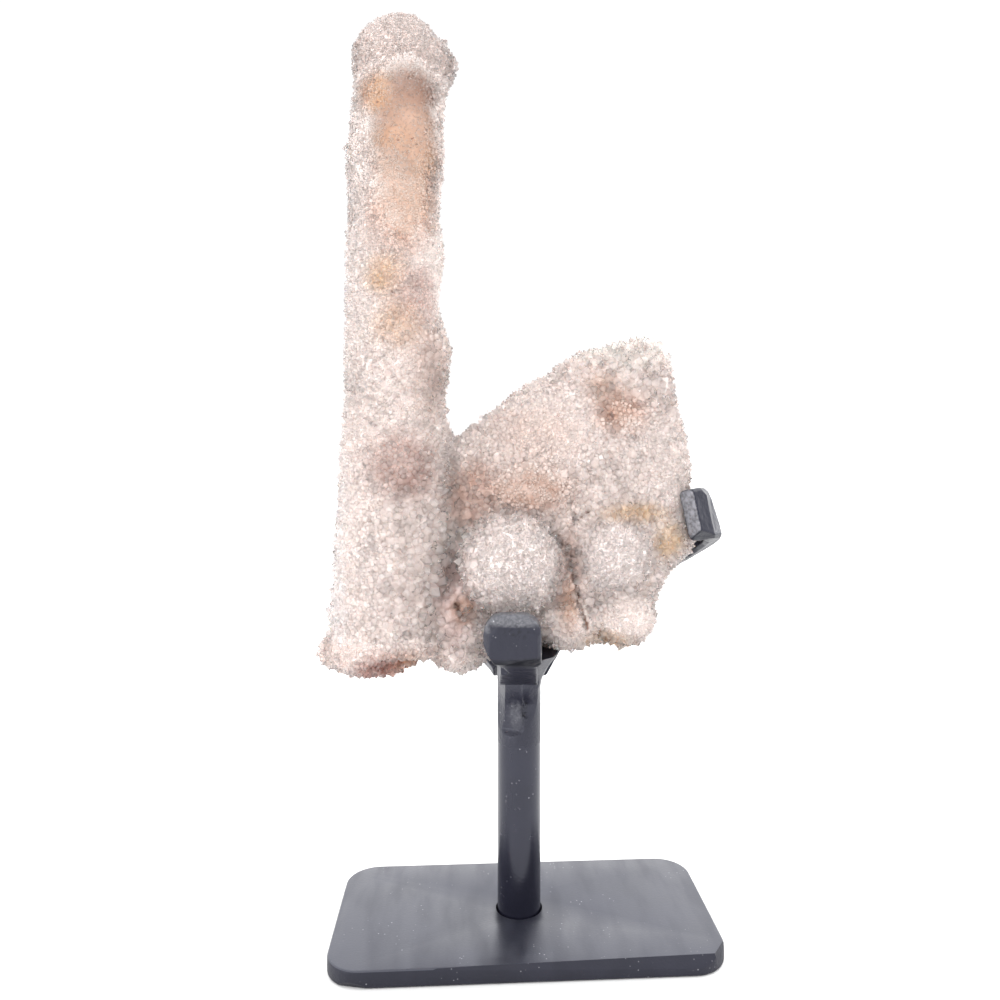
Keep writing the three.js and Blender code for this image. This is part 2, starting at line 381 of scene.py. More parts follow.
def painted_iron(name, colour, roughness, grain_bump, index):
    """Satin black paint on iron, with dust, scuffs, bare worn places sprinkled with painted glints, and
    painted shade with dark flecks, where the piece says.
    """
    n = Finish(name)
    lighter = tuple(1.45 * share for share in colour)
    paint = n.blend(n.span(n.noise(70, 4), 0.3, 0.75), colour, lighter)
    dust = n.span(n.specks(620), 0.16, 0.07)
    dust = n.math("MULTIPLY", dust, n.span(n.noise(120, 2), 0.5, 0.7))
    paint = n.blend(n.math("MULTIPLY", dust, 0.8), paint, DUST_COLOUR)

    worn = n.blend(n.span(n.noise(1500, 4), 0.35, 0.7), *WORN_COLOURS)
    bare = n.span(n.attribute("wear"), 1.0, 1.5)
    bare = n.math("MULTIPLY", bare, n.span(n.noise(900, 3), 0.3, 0.65))
    worn = n.blend(bare, worn, BARE_COLOUR)
    # Painted glints: light specks sprinkled over the worn places.
    flecks = n.span(n.specks(1000), 0.26, 0.12)
    flecks = n.math("MULTIPLY", flecks, n.span(n.noise(260, 3), 0.54, 0.66))
    worn = n.blend(flecks, worn, GLINT_COLOUR)

    frayed = n.math("MULTIPLY", n.noise(900, 4), 0.4)
    wear = n.span(n.math("ADD", n.attribute("wear"), frayed), 0.4, 0.95)
    paint = n.blend(wear, paint, worn)
    # Painted shade and dark flecks: the paint is taken toward near black where the piece says.
    n.link(n.blend(n.attribute("shade_and_flecks"), paint, SHADE_AND_FLECK_COLOUR), n.shader.inputs["Base Color"])

    scuffs = n.noise(160, 5, stretch=(1, 0.25, 0.25))
    rough = n.span(scuffs, 0.35, 0.7, roughness - 0.05, roughness + 0.1)
    rough = n.math("ADD", rough, n.math("MULTIPLY", wear, 0.14))
    n.link(rough, n.shader.inputs["Roughness"])
    n.set(ior=index, specular_tint=COOL_SHEEN)
    height = n.math("ADD", n.noise(1500, 3), n.math("MULTIPLY", scuffs, 0.8))
    n.bump(height, grain_bump, 0.3 * MM)
    return n.material


def stone_material():
    """Milky massive quartz under the crystals, tinted by the piece's own tint colours."""
    n = Finish("milky_quartz")
    tint = n.attribute("tint", "Color")
    mottled = n.blend(n.span(n.noise(700, 4), 0.3, 0.7), tint, (0.86, 0.8, 0.78), "MULTIPLY")
    mottled = n.blend(0.6, tint, mottled)
    n.link(mottled, n.shader.inputs["Base Color"])
    n.link(n.span(n.noise(300, 3), 0.3, 0.7, 0.3, 0.55), n.shader.inputs["Roughness"])
    n.set(ior=1.54, subsurface_weight=0.2, subsurface_scale=1.0)
    n.set(subsurface_radius=(2 * MM, 1.5 * MM, 1.2 * MM))
    height = n.math("ADD", n.noise(900, 5), n.math("MULTIPLY", n.noise(260, 3), 1.5))
    n.bump(height, 0.5, 0.5 * MM)
    return n.material


def crystal_material(name, transmission, milk, roughness, index):
    """Quartz points, tinted by the tint stored on each crystal."""
    n = Finish(name)
    tint = n.attribute("tint", "Color")
    whiter = n.blend(0.12, tint, (1.0, 1.0, 1.0))
    n.link(n.blend(n.span(n.noise(1300, 2), 0.35, 0.65), tint, whiter), n.shader.inputs["Base Color"])
    n.link(n.span(n.noise(500, 3), 0.3, 0.7, roughness, roughness + 0.16), n.shader.inputs["Roughness"])
    n.set(ior=index, transmission_weight=transmission, subsurface_weight=milk, subsurface_scale=1.0)
    n.set(coat_weight=0.5, coat_roughness=0.04)
    n.set(subsurface_radius=(1.6 * MM, 1.2 * MM, 1.1 * MM))
    n.bump(n.noise(1600, 3), 0.15, 0.12 * MM)
    return n.material


# ---------------------------------------------------------------- the stone's zones

# The three nodules: centre and radius.
BALL_ONE = ((-2.6, -13.4, 106.2), 15.8)
BALL_TWO = ((26.0, -13.0, 108.3), 12.0)
BALL_THREE = ((29.6, -12.2, 90.6), 9.8)
BALLS = (BALL_ONE, BALL_TWO, BALL_THREE)
CAP_HEIGHTS = (246, 250)

BASE_STONE = shade(236, 224, 219)
PALE_STONE = shade(246, 240, 239)
BALL_STONE = shade(236, 226, 224)
CAP_STONE = shade(222, 206, 200)
RIM_STONE = shade(228, 212, 206)
ROOT_RED = shade(208, 168, 158)
ROOT_RUST = shade(222, 178, 146)
PIT_BROWN = shade(140, 96, 84)
CRACK_BROWN = shade(112, 76, 58)

# Patches of colour: centre, half sizes, display colour, strength.
STAINS = [
    ((-32, -16, 230), (14, 13, 21), (116, 76, 52), 1.0),
    ((-30, -16, 241), (9, 13, 7), (104, 62, 40), 1.0),
    ((-42, -14, 240), (6, 12, 7), (176, 124, 76), 0.8),
    ((-36, -17, 227), (8, 10, 4.5), (146, 96, 48), 0.9),
    ((-27, -16, 221), (8, 12, 6.5), (132, 86, 46), 0.9),
    ((-26, -14, 209), (6, 12, 9), (170, 128, 98), 0.8),
    ((-36, -16, 205), (11, 10, 13), (190, 150, 130), 0.7),
    ((-39, -17, 188), (8, 9, 7), (214, 176, 138), 0.7),
    ((-30, -15, 182), (8, 12, 10), (184, 144, 130), 0.75),
    ((-35, -17, 174), (9, 9, 8), (214, 178, 146), 0.65),
    ((-26, -14, 162), (7, 12, 18), (208, 182, 170), 0.5),
    ((-33, -18, 134), (13, 9, 11), (192, 160, 150), 0.75),
    ((-14, -12, 126), (9, 12, 12), (194, 156, 138), 0.8),
    ((2, -16, 127), (15, 9, 9), (182, 148, 132), 0.9),
    ((-19, -14, 96), (6, 12, 18), (206, 178, 172), 0.7),
    ((13, -17, 104), (5, 8, 16), (198, 166, 152), 0.8),
    ((30, -14, 150), (10, 9, 8), (200, 160, 140), 0.9),
    ((24, -14, 158), (7, 9, 8), (206, 170, 148), 0.6),
    ((33, -14, 120), (12, 12, 3.5), (220, 188, 150), 0.8),
    ((43, -12, 112), (6, 12, 6), (218, 184, 136), 0.7),
    ((24, -12, 84), (9, 12, 4), (196, 152, 92), 0.8),
    ((4, -6, 142), (16, 14, 10), (218, 194, 182), 0.6),
    ((-17, -14, 93), (4, 10, 5), (196, 146, 112), 0.8),
    ((13, -18, 94), (3.5, 8, 8), (210, 172, 146), 0.6),
    ((-32, -16, 220), (11, 12, 28), (206, 172, 152), 0.6),
]

# Fine cracks between the growths: the points that each passes, and its width and depth.
CRACKS = [
    ([(8, -24, 117), (13, -22, 110), (15, -22, 100), (18, -22, 88)], 0.7, 1.7),
    ([(-19, -18, 95), (-17, -18, 92), (-15, -18, 93)], 0.9, 2.4),
    ([(14, -22, 124), (15, -22, 118), (19, -22, 121)], 0.6, 1.0),
]
ROOT_CENTRE = (-36.5, -12, 72.5)
ROOT_SIZE = (12, 20, 9.5)

# Single larger crystals: place across, height and width.
LARGE_CRYSTALS = [
    (-58.0, 80.0, 3.6), (-23.0, 104.5, 3.2), (-24.5, 99.0, 2.6), (-21.0, 110.0, 2.6),
    (-20.5, 88.0, 3.0), (-26.0, 84.5, 2.6), (-12.0, 84.5, 2.4), (-19.5, 117.0, 2.4),
    (9.5, 92.0, 3.0), (12.5, 85.0, 2.6), (12.0, 97.0, 2.2), (16.5, 83.5, 2.8),
    (31.5, 124.0, 2.8), (36.0, 119.5, 3.2), (38.0, 126.0, 2.4), (22.0, 146.0, 2.8),
    (24.5, 135.0, 2.4), (12.0, 131.0, 2.8), (-24.0, 176.0, 2.4), (-22.5, 168.0, 2.8),
    (-23.0, 158.0, 2.6), (-21.5, 150.0, 2.8), (44.0, 107.0, 2.6), (40.0, 99.0, 2.4),
]


def near(spots, centre, size):
    """1 at the centre of an ellipsoid, falling smoothly to 0 a little past its surface."""
    away = np.linalg.norm((spots - np.array(centre)) / np.array(size), axis=1)
    return 1 - ramp(0.35, 1.25, away)


def ball_face(spots, ball, share=1.0):
    """1 in the middle of a nodule's front, falling to 0 at a share of its radius."""
    (x, y, z), radius = ball
    return near(spots, (x, y - radius, z), (share * radius,) * 3)


def ball_rim(spots, ball, share=1.0):
    """1 on a nodule all round its front."""
    centre, radius = ball
    return near(spots, centre, (radius + 3,) * 3) * (1 - ball_face(spots, ball, share))


def waves(spots):
    """Quick uneven waves, about -1 to 1."""
    return np.sin(1.9 * spots[:, 0] + 2.3 * spots[:, 2]) * np.sin(1.3 * spots[:, 1] - 1.7 * spots[:, 2])


def crack_share(spots):
    """How deep in a crack each place lies, in millimetres, seen from the front."""
    deepest = np.zeros(len(spots))
    in_front = spots[:, 1] < -4
    for points, width, depth in CRACKS:
        for first, last in zip(points, points[1:]):
            start = np.array(first)[[0, 2]]
            along = np.array(last)[[0, 2]] - start
            away = spots[:, [0, 2]] - start
            share = np.clip(away @ along / (along @ along), 0, 1)
            gap = np.linalg.norm(away - share[:, None] * along, axis=1)
            gap += 0.5 * width * waves(spots)
            deepest = np.maximum(deepest, depth * ramp(width, 0.3 * width, gap) * in_front)
    return deepest


def root_share(spots):
    """1 where the foot is broken off underneath, 0 away from there."""
    return np.clip(1.6 * near(spots, ROOT_CENTRE, ROOT_SIZE), 0, 1)


def stone_colour(spots):
    """The stone's linear colour at places in millimetres."""
    x, _, z = spots.T
    root = root_share(spots)
    root_colour = mix(ROOT_RED, ROOT_RUST, ramp(-40, -30, x)[:, None])
    broken = 0.95 + 0.4 * clouds(spots, 7.0, 3.1)
    layers = [(PALE_STONE, 0.9 * ramp(-48, -54, x) * ramp(70, 90, z))]
    for centre, size, colour, strength in STAINS:
        share = np.clip(strength * near(spots, centre, size) * broken, 0, 1)
        layers.append((shade(*colour), share))
    for (across, deep, up), radius in (BALL_ONE, BALL_TWO):
        layers.append((BALL_STONE, 0.8 * near(spots, (across, deep - 3, up), (radius,) * 3)))
    layers.append((CAP_STONE, ramp(*CAP_HEIGHTS, z)))
    layers.append((RIM_STONE, ramp(84, 82, z) * ramp(-18, -24, x)))
    layers.append((root_colour, root))
    layers.append((PIT_BROWN, 0.7 * root * ramp(0.15, 0.45, clouds(spots, 1.0, 9.0))))
    layers.append((CRACK_BROWN, np.clip(crack_share(spots) / 1.2, 0, 1)))
    colours = np.tile(BASE_STONE, (len(spots), 1))
    for colour, share in layers:
        colours = mix(colours, colour, share[:, None])
    return np.clip(colours, 0.02, 0.97)


def grain_size(spots, normals):
    """The width of the crystals at each place, in millimetres; none grow where it is 0."""
    x, y, z = spots.T
    finger = ramp(-14, -20, x)
    sides = ramp(0.55, 0.85, np.abs(normals[:, 0]))
    layers = [
        (1.2, finger),
        (1.0, finger * ramp(200, 230, z)),
        (1.0, ramp(*CAP_HEIGHTS, z)),
        (1.7, finger * ramp(146, 120, z)),
        (1.5, finger * sides * ramp(185, 205, z)),
        (2.2, near(spots, (-22, -8, 166), (7, 14, 16))),
        (2.5, near(spots, (-20, -12, 104), (10, 16, 26))),
        (1.7, near(spots, (36, -8, 150), (20, 20, 32))),
    ]
    for ball in BALLS:
        layers.append((1.7, ball_rim(spots, ball, 0.85)))
        layers.append((1.1, ball_face(spots, ball, 0.85)))
    layers.append((2.2, ramp(6, 16, y)))
    size = np.full(len(spots), 1.4)
    for width, share in layers:
        size = mix(size, width, share)
    size *= 0.86 + 0.13 * clouds(spots, 9.0, 5.0)
    size = mix(size, 2.0, near(spots, (-58, -2, 104), (6, 22, 24)))
    size = mix(size, 1.0, ramp(87, 82, z) * ramp(-20, -28, x) * ramp(-54, -50, x))
    size[root_share(spots) > 0.6] = 1.0
    size = mix(size, 1.1, ramp(82, 80, z) * ramp(-0.3, -0.7, normals[:, 2]))
    size[crack_share(spots) > 0.5] = 0
    return size


def strongest(shares):
    """The highest of several shares at each place."""
    return np.maximum.reduce(list(shares))


def calmness(spots):
    """How even and low the coat is at each place, 0 to 1."""
    x, _, z = spots.T
    return strongest([
        near(spots, (-49, -16, 104), (14, 14, 40)),
        near(spots, (8, -16, 146), (20, 20, 14)),
        near(spots, (40, -10, 136), (12, 20, 16)),
        0.6 * ramp(-16, -24, x) * ramp(150, 180, z),
        *(ball_face(spots, ball) for ball in BALLS),
    ])


def painted_brightness(spots):
    """Painted light and shade on the crystals, about 1: painted shade on the cap, the first two
    nodules' fronts and a patch on the finger's left, painted light in the crevice beside the first
    nodule and on a few other patches.
    """
    x, _, z = spots.T
    # Painted shade: darker on the cap, the first two nodules' fronts and the finger's left.
    painted_dimming = strongest([
        ramp(240, 250, z),
        0.7 * ramp(140, 160, z) * ramp(-36, -46, x),
        ball_face(spots, BALL_ONE),
        ball_face(spots, BALL_TWO),
    ])
    finger_right = ramp(146, 156, z) * ramp(232, 200, z) * ramp(-38, -28, x) * ramp(-16, -20, x)
    # Painted light: lighter in the crevice beside the first nodule and on a few other patches.
    bright = strongest([
        near(spots, (-19, -12, 104), (8, 16, 26)),
        0.2 * near(spots, (-58, -2, 104), (8, 22, 26)),
        0.2 * near(spots, (44, -8, 150), (12, 20, 30)),
        near(spots, (32, -6, 170), (22, 20, 12)),
        0.7 * near(spots, (13, -18, 100), (5, 12, 16)),
        0.7 * finger_right,
    ])
    return 1 - 0.17 * painted_dimming + 0.09 * bright


def bareness(spots):
    """How much of the coat is missing at each place, 0 to 1."""
    return strongest([
        0.9 * near(spots, (-32, -16, 232), (14, 12, 19)),
        0.5 * near(spots, (-33, -17, 212), (12, 9, 18)),
        0.75 * near(spots, (2, -16, 128), (14, 9, 7)),
        0.5 * near(spots, (30, -14, 149), (9, 9, 7)),
    ])


def clearness(spots, normals):
    """How likely the crystals are to be clear at each place, 0 to 1."""
    sides = ramp(0.6, 0.95, np.abs(normals[:, 0]))
    return strongest([
        0.03 + 0.2 * sides * ramp(185, 205, spots[:, 2]),
        0.5 * near(spots, (-22, -8, 168), (8, 16, 18)),
        0.25 * near(spots, (-18, -12, 104), (9, 16, 26)),
        0.5 * ball_rim(spots, BALL_ONE),
    ])


# ---------------------------------------------------------------- stone pieces

CORE_VOXEL = 1.0
CORE_SINK = 1.25
HOLLOW = ((31, -16, 149), (9, 9, 7), 2.1)


def build_core():
    """The stone under its crystals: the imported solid, sunk by a crystal's height and roughened."""
    piece = copy_node("stalagmite", "stone_body")
    remesh(piece, CORE_VOXEL, 3)
    places = vertex_places(piece)
    normals = vertex_normals(piece)
    spots = from_foot(places)
    under = ramp(84, 80, spots[:, 2]) * ramp(-0.2, -0.6, normals[:, 2])
    depth = CORE_SINK * (1 - 0.8 * under)
    depth -= 0.5 * clouds(spots, 9.0, 1.0) + 0.25 * clouds(spots, 3.0, 2.0)
    centre, size, deepest = HOLLOW
    depth += deepest * near(spots, centre, size) + crack_share(spots)
    depth += under * 0.9 * np.abs(clouds(spots, 1.8, 4.0))
    depth += root_share(spots) * (0.9 + 1.8 * clouds(spots, 2.4, 6.0))
    move_vertices(piece, places - normals * (depth * MM)[:, None])
    store_colours(piece, "tint", stone_colour(from_foot(vertex_places(piece))))
    select_only(piece)
    bpy.ops.object.shade_smooth()
    return finish_piece(piece, stone_material(), STONE_SLOT, "stalagmite")


def select_end(piece, choose):
    """Edit mode, with only the lowest or the highest face selected: choose is min or max."""
    select_only(piece)
    bpy.ops.object.mode_set(mode="EDIT")
    bpy.ops.mesh.select_mode(type="FACE")
    bpy.ops.mesh.select_all(action="DESELECT")
    mesh = bmesh.from_edit_mesh(piece.data)
    choose(mesh.faces, key=lambda face: face.calc_center_median().z).select_set(True)
    bmesh.update_edit_mesh(piece.data)


def add_prism(name, depth):
    """A six-sided prism, one wide, round a middle 0.3 above the ground."""
    bpy.ops.object.select_all(action="DESELECT")
    bpy.ops.mesh.primitive_cylinder_add(vertices=6, radius=0.5, depth=depth, location=(0, 0, 0.3))
    return name_piece(name)


def quartz_point(name, taper, lift):
    """One crystal, one wide and one high: a six-sided prism under a pointed top."""
    piece = add_prism(name, 0.6)
    select_end(piece, max)
    bpy.ops.transform.resize(value=(taper, taper, 1))
    bpy.ops.mesh.poke(offset=0.4)
    bpy.ops.mesh.select_all(action="SELECT")
    bpy.ops.mesh.quads_convert_to_tris()
    mesh = bmesh.from_edit_mesh(piece.data)
    shoulders = [corner for corner in mesh.verts if 0.5 < corner.co.z < 0.7]
    shoulders.sort(key=lambda corner: math.atan2(corner.co.y, corner.co.x))
    for turn, corner in enumerate(shoulders):
        corner.co.z += lift * (1 if turn % 2 else -1)
    bmesh.update_edit_mesh(piece.data)
    to_object_mode()
    return piece


def sugar_grain(name, height):
    """A fine grain: two six-sided points, base to base, the lower one sunk in the stone."""
    piece = add_prism(name, 0.3)
    select_end(piece, min)
    bpy.ops.mesh.merge(type="CENTER")
    select_end(piece, max)
    bpy.ops.mesh.poke(offset=height)
    to_object_mode()
    return piece


def shape_of(piece):
    """A small mesh's corners and triangles, as arrays; the piece itself is removed."""
    corners = vertex_places(piece)
    triangles = np.array([face.vertices[:] for face in piece.data.polygons])
    bpy.data.objects.remove(piece)
    return corners, triangles


def scatter(core, generator, count):
    """Random places spread evenly over a mesh, with the surface's normals there."""
    mesh = core.data
    mesh.calc_loop_triangles()
    corners = np.empty(len(mesh.loop_triangles) * 3, np.int32)
    mesh.loop_triangles.foreach_get("vertices", corners)
    corners = corners.reshape(-1, 3)
    places = vertex_places(core)
    normals = vertex_normals(core)
    a, b, c = (places[corners[:, i]] for i in range(3))
    areas = np.linalg.norm(np.cross(b - a, c - a), axis=1)
    chosen = generator.choice(len(corners), count, p=areas / areas.sum())
    first = np.sqrt(generator.random(count))[:, None]
    second = generator.random(count)[:, None]
    shares = [1 - first, first * (1 - second), first * second]
    spots = sum(share * places[corners[chosen, i]] for i, share in enumerate(shares))
    facing = sum(share * normals[corners[chosen, i]] for i, share in enumerate(shares))
    return spots, facing / np.linalg.norm(facing, axis=1)[:, None]


def thin_out(spots, gaps):
    """Which of the spots stay when none may be nearer to an earlier one than its gap."""
    tree = kdtree.KDTree(len(spots))
    for index, spot in enumerate(spots):
        tree.insert(spot, index)
    tree.balance()
    alive = np.ones(len(spots), bool)
    for index, spot in enumerate(spots):
        if alive[index]:
            for _, other, _ in tree.find_range(spot, gaps[index]):
                if other > index:
                    alive[other] = False
    return alive


def crystals_mesh(name, shapes, table):
    """One joined mesh of crystals. The table holds each one's place, axes, size, kind and tint."""
    corners = []
    triangles = []
    tints = []
    total = 0
    for kind, (points, faces) in enumerate(shapes):
        rows = table["kind"] == kind
        scaled = points[None] * table["size"][rows][:, None, :]
        turned = np.einsum("nvk,nkj->nvj", scaled, table["axes"][rows])
        corners.append((turned + table["place"][rows][:, None, :]).reshape(-1, 3))
        starts = total + len(points) * np.arange(rows.sum())
        triangles.append((faces[None] + starts[:, None, None]).reshape(-1, 3))
        tints.append(np.repeat(table["tint"][rows], len(points), axis=0))
        total += len(points) * rows.sum()
    corners = np.concatenate(corners)
    triangles = np.concatenate(triangles)
    mesh = bpy.data.meshes.new(name)
    mesh.vertices.add(len(corners))
    mesh.vertices.foreach_set("co", corners.ravel())
    mesh.loops.add(triangles.size)
    mesh.loops.foreach_set("vertex_index", triangles.ravel().astype(np.int32))
    mesh.polygons.add(len(triangles))
    mesh.polygons.foreach_set("loop_start", np.arange(0, triangles.size, 3, dtype=np.int32))
    mesh.update(calc_edges=True)
    piece = bpy.data.objects.new(name, mesh)
    bpy.context.scene.collection.objects.link(piece)
    store_colours(piece, "tint", np.concatenate(tints))
    piece.data.shade_flat()
    return piece


def crystal_axes(normals, generator, lean):
    """Axes for crystals that stand on a surface, each leaning and turned its own way."""
    count = len(normals)
    upward = normals + lean * generator.normal(size=(count, 3))
    upward /= np.linalg.norm(upward, axis=1)[:, None]
    side = np.cross(upward, generator.normal(size=(count, 3)))
    side /= np.linalg.norm(side, axis=1)[:, None]
    return np.stack([side, np.cross(upward, side), upward], axis=1)


def search_tree(mesh):
    """A mesh's faces, sorted for finding the nearest place on them."""
    corners = [corner.co.copy() for corner in mesh.vertices]
    return BVHTree.FromPolygons(corners, [face.vertices[:] for face in mesh.polygons])


def clear_of_iron(spots, reach):
    """Which of the spots keep their reach away from the claws and the post."""
    trees = [search_tree(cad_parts[node].data) for node in (*CLAWS, "post")]
    keep = np.ones(len(spots), bool)
    for index, spot in enumerate(spots):
        keep[index] = all(tree.find_nearest(Vector(spot), reach[index])[0] is None for tree in trees)
    return keep


DRUSE_SEED = 46
DRUSE_TRIES = 290000
# Crystals up to this width are fine grains, wider ones are pointed prisms.
FINE_WIDTH = 1.45
# Least gap between crystals, as a share of the wider one's width.
SPACING = 0.56
LEAN = 0.2
CRYSTAL_TINT = (0.97, 0.938, 0.928)
OPAQUE_SHADE = 0.8
# The kinds of crystal: material, see-through share, milky share, roughness and refraction.
FROSTED = ("druse_crystals", 0.88, 0.0, 0.36, 1.34)
CLEAR = ("clear_crystals", 0.94, 0.0, 0.1, 1.38)
OPAQUE = ("white_crystals", 0.0, 0.3, 0.3, 1.4)


def choose_spots(generator):
    """Where the crystals grow: places, surface normals, millimetres off the foot and widths."""
    places, normals = scatter(bpy.data.objects["stone_body"], generator, DRUSE_TRIES)
    spots = from_foot(places)
    width = grain_size(spots, normals)
    keep = width > 0
    keep &= generator.random(len(spots)) > 0.8 * bareness(spots)
    places, normals, spots, width = (part[keep] for part in (places, normals, spots, width))
    width = width * np.exp(0.24 * generator.normal(size=len(width)))
    width *= 1 - 0.45 * bareness(spots)
    for across, height, large in LARGE_CRYSTALS:
        away = np.hypot(spots[:, 0] - across, spots[:, 2] - height) + 50 * (spots[:, 1] > 2)
        width[np.argmin(away)] = large
    width *= 1 - 0.12 * calmness(spots)
    rows = np.argsort(-width, kind="stable")
    gaps = (SPACING - 0.12 * calmness(spots[rows])) * width[rows] * MM
    rows = rows[thin_out(places[rows], gaps)]
    middles = places[rows] + normals[rows] * (width[rows] * 0.5 * MM)[:, None]
    rows = rows[clear_of_iron(middles, width[rows] * 0.5 * MM)]
    return places[rows], normals[rows], spots[rows], width[rows]


def crystal_tints(spots, generator):
    """Each crystal's colour, whiter than the stone but for the bare and the broken places, with painted
    light and shade laid over it.
    """
    count = len(spots)
    bare = bareness(spots)[:, None]
    tints = stone_colour(spots) ** (0.6 + 0.4 * bare) * generator.uniform(0.97, 1.03, (count, 1))
    whiter = generator.uniform(0.45, 0.7, (count, 1))
    whiter = whiter * (1 - bare) * (1 - root_share(spots)[:, None])
    return mix(tints, np.array(CRYSTAL_TINT), whiter) * painted_brightness(spots)[:, None]


def build_druse():
    """The coat of crystals, as a few joined meshes by part of the stone and by clearness."""
    generator = np.random.default_rng(DRUSE_SEED)
    places, normals, spots, width = choose_spots(generator)
    count = len(places)
    calm = calmness(spots)
    coarse = width > FINE_WIDTH
    height = width * generator.uniform(0.8, 1.25, count) * (1 + 0.12 * coarse) * (1 - 0.45 * calm)
    sunk = (0.3 + 0.15 * calm) * height * MM
    tints = crystal_tints(spots, generator)
    opaque = generator.random(count) < 0.01 + 0.96 * ramp(0.12, 0.4, bareness(spots))
    tints[opaque] = OPAQUE_SHADE * stone_colour(spots[opaque])
    points = [
        quartz_point("point_even", 0.98, 0.02),
        quartz_point("point_alternate", 0.94, 0.09),
        quartz_point("point_blunt", 0.82, 0.05),
    ]
    grains = [sugar_grain("grain_high", 0.5), sugar_grain("grain_low", 0.36)]
    shapes = [shape_of(piece) for piece in points + grains]
    table = {
        "axes": crystal_axes(normals, generator, LEAN),
        "size": np.stack([width, width, height], axis=1) * MM,
        "place": places - normals * sunk[:, None],
        "kind": np.where(
            coarse,
            generator.integers(0, len(points), count),
            generator.integers(len(points), len(shapes), count),
        ),
        "tint": np.clip(tints, 0.02, 0.985),
    }
    clear_odds = clearness(spots, normals) + 0.6 * ramp(1.6, 2.3, width)
    clear = ~opaque & (generator.random(count) < clear_odds)
    kinds = [
        ("", ~clear & ~opaque, crystal_material(*FROSTED)),
        ("_clear", clear, crystal_material(*CLEAR)),
        ("_white", opaque, crystal_material(*OPAQUE)),
    ]
    x, _, z = spots.T
    parts = {
        "finger_druse": (x < -17) & (z > 150),
        "foot_druse": (x < -17) & (z <= 150),
        "nodule_druse": (x >= -17) & (z < 128),
        "lump_druse": (x >= -17) & (z >= 128),
    }
    for name, inside in parts.items():
        for suffix, chosen, material in kinds:
            part = {key: values[inside & chosen] for key, values in table.items()}
            finish_piece(crystals_mesh(name + suffix, shapes, part), material, STONE_SLOT)


# ---------------------------------------------------------------- stand pieces

# The paints: name, colour, roughness, strength of the grain and index of refraction.
PLATE_PAINT = ("plate_paint", linear(24, 25, 34), 0.36, 0.12, 1.75)
PLATE_SIDE_PAINT = ("plate_side_paint", linear(26, 26, 34), 0.42, 0.4, 1.4)
POST_PAINT = ("post_paint", linear(20, 20, 30), 0.19, 0.1, 1.55)
HEAD_PAINT = ("head_paint", linear(26, 26, 35), 0.34, 0.5, 1.5)
CLAW_PAINT = ("claw_paint", linear(27, 27, 36), 0.34, 0.25, 1.45)

# Corners ground off: a point on the cut, the way the cut faces, and how far it reaches.
PLATE_CUTS = [
    ((-53.0, -26.3, -2.0), (-0.62, -0.6, 0.5), 10),
    ((-55.4, -20.0, -0.6), (-0.7, -0.1, 0.7), 16),
    ((-46.0, -28.2, -4.3), (-0.2, -0.8, -0.55), 16),
    ((54.6, -26.0, -1.6), (0.6, -0.6, 0.53), 10),
    ((55.4, -23.6, -3.2), (0.8, -0.55, 0.2), 9),
    ((0.0, -28.4, -0.3), (0.02, -0.75, 0.66), 130),
]
PLATE_BURR = 0.25

HEAD_LOW = 50.0
HEAD_HIGH = 80.0
HEAD_OVERSIZE = 0.03
HEAD_VOXEL = 0.4

# Flats of the post's head: the way each faces, its depth and the heights where it starts and is full.
HEAD_FLATS = [
    ((-0.42, -0.907), 1.2, 53.0, 55.5),
    ((-0.87, -0.5), 0.7, 54.0, 59.0),
    ((0.4, -0.917), 0.8, 57.0, 64.0),
]

CLAW_VOXEL = 0.35
# Cuts on the front claw's tip, set out as if the claw pointed straight to the front.
TIP_CUTS = [
    ((0.0, -36.0, 92.0), (0.0, -0.8, 0.62), 30),
    ((-4.6, -36.0, 91.2), (-0.5, -0.72, 0.48), 30),
    ((4.6, -36.0, 92.0), (0.42, -0.78, 0.46), 30),
    ((-5.9, -36.0, 87.0), (-0.66, -0.75, 0.06), 30),
    ((6.6, -36.0, 87.0), (0.7, -0.72, 0.0), 30),
    ((-6.6, -30.0, 85.2), (-0.86, 0.0, -0.5), 20),
    ((0.0, -36.0, 83.4), (0.1, -0.6, -0.8), 20),
]
# Cuts on the right claw's tip, and one that narrows the front claw's arm.
RIGHT_CUTS = [
    ((56.4, -8.0, 124.6), (0.72, -0.3, 0.62), 22),
    ((47.6, -12.0, 114.6), (-0.62, -0.5, -0.6), 20),
    ((52.0, -14.0, 113.8), (0.05, -0.62, -0.78), 20),
    ((47.4, -14.6, 124.0), (-0.5, -0.62, 0.6), 20),
]
ARM_CUT = ((-6.3, -17.0, 73.4), (-1.0, 0.0, -0.02), 24)
# How the front claw stands: its turn about the post, and its shift to the side.
FRONT_TURN = -0.1
FRONT_SHIFT = -0.4


def turned_front(vector, shift=0.0):
    """A vector of the front claw's own frame, turned as the claw stands."""
    x, y, z = vector
    cosine = math.cos(FRONT_TURN)
    sine = math.sin(FRONT_TURN)
    return (cosine * x - sine * y + shift, sine * x + cosine * y, z)


